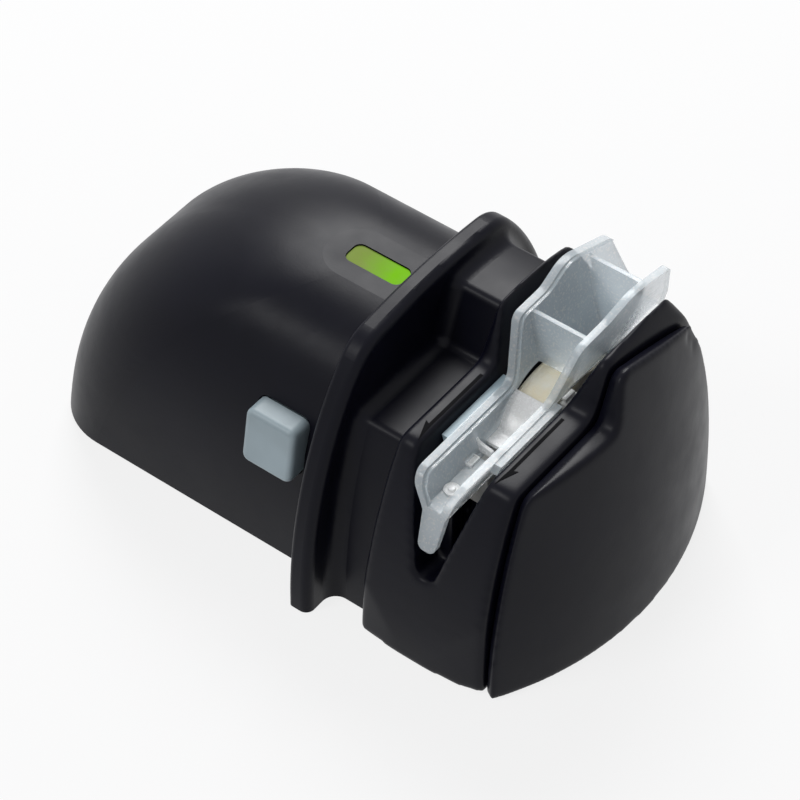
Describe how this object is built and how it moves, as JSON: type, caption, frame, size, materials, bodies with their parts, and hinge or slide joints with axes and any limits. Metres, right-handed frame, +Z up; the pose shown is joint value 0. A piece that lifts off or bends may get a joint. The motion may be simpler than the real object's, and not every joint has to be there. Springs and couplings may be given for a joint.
{
  "type": "electric knife sharpener",
  "caption": "Battery powered knife sharpener with a black domed body, a guard flange, a side thumb button, a green window and a clear blade guide over a cream grinding wheel.",
  "frame": {"origin": "middle of the overall length on the middle plane, on the ground under the feet", "axes": "+X from the rounded rear body to the sharpening head, +Y along the knife slots away from the near, low end, +Z up"},
  "size_m": [0.1592, 0.1024, 0.076],
  "materials": {
    "black_shell": "satin",
    "black_rubber": "matte",
    "steel": "satin",
    "green_lens": "gloss",
    "lamp": "gloss",
    "circuit_board": "matte",
    "zinc_plate": "satin",
    "black_nylon": "matte",
    "magnet": "matte",
    "nickel": "polished",
    "bronze": "satin",
    "white_felt": "matte",
    "clear_plastic": "gloss",
    "blue_pad": "satin",
    "cream_stone": "matte",
    "white_nylon": "satin",
    "copper": "satin",
    "grey_button": "satin",
    "cell_wrap": "gloss"
  },
  "bodies": {
    "housing": {"main_housing": "black_shell", "base_plate": "black_shell", "head_base": "black_shell", "rubber_feet": "black_rubber", "base_screws": "steel", "head_screws": "steel", "bracket_screws": "steel", "motor_screws": "steel", "indicator_window": "green_lens", "led": "lamp", "led_board": "circuit_board", "motor_can": "zinc_plate", "motor_end_cap": "black_nylon", "motor_magnets": "magnet", "motor_bracket": "steel", "battery_tray": "black_nylon", "battery_contacts": "nickel", "battery_cell_1": "cell_wrap", "battery_cell_2": "cell_wrap", "battery_cell_3": "cell_wrap", "battery_cell_4": "cell_wrap", "battery_springs": "nickel", "switch_body": "black_nylon", "switch_bracket": "steel", "head_block": "black_shell", "front_cover": "black_shell", "shaft_bush_rear": "bronze", "shaft_bush_front": "bronze", "felt_wiper": "white_felt", "grit_felt": "white_felt", "button_spring": "nickel"},
    "guide": {"blade_guide": "clear_plastic", "guide_pad_rear": "blue_pad", "guide_pad_front": "blue_pad"},
    "wheel": {"grinding_wheel": "cream_stone", "wheel_shaft": "steel", "driven_gear": "white_nylon", "wheel_washers": "steel"},
    "rotor": {"motor_shaft": "steel", "armature": "copper", "pinion_gear": "bronze"},
    "button": {"power_button": "grey_button", "switch_plunger": "white_nylon"},
    "battery_door": {"battery_door": "black_shell"}
  },
  "joints": [
    {"name": "guide_lift", "type": "slide", "parent": "housing", "child": "guide", "axis": [0, 0, 1], "range_m": [0, 0.045]},
    {"name": "wheel_spin", "type": "hinge", "parent": "housing", "child": "wheel", "pos_m": [0.04555, 0.006, 0.031], "axis": [1, 0, 0], "continuous": true},
    {"name": "motor_spin", "type": "hinge", "parent": "housing", "child": "rotor", "pos_m": [0.00995, 0, 0.04669], "axis": [1, 0, 0], "continuous": true},
    {"name": "button_press", "type": "slide", "parent": "housing", "child": "button", "axis": [0, 1, 0], "range_m": [0, 0.0025], "stiffness_N_per_m": 300, "springref_m": -0.002, "deforming": ["button_spring"]},
    {"name": "door_slide", "type": "slide", "parent": "housing", "child": "battery_door", "axis": [-1, 0, 0], "range_m": [0, 0.058]}
  ],
  "couplings": [
    {"joint": "motor_spin", "follows": "wheel_spin", "ratio": -2.5}
  ]
}
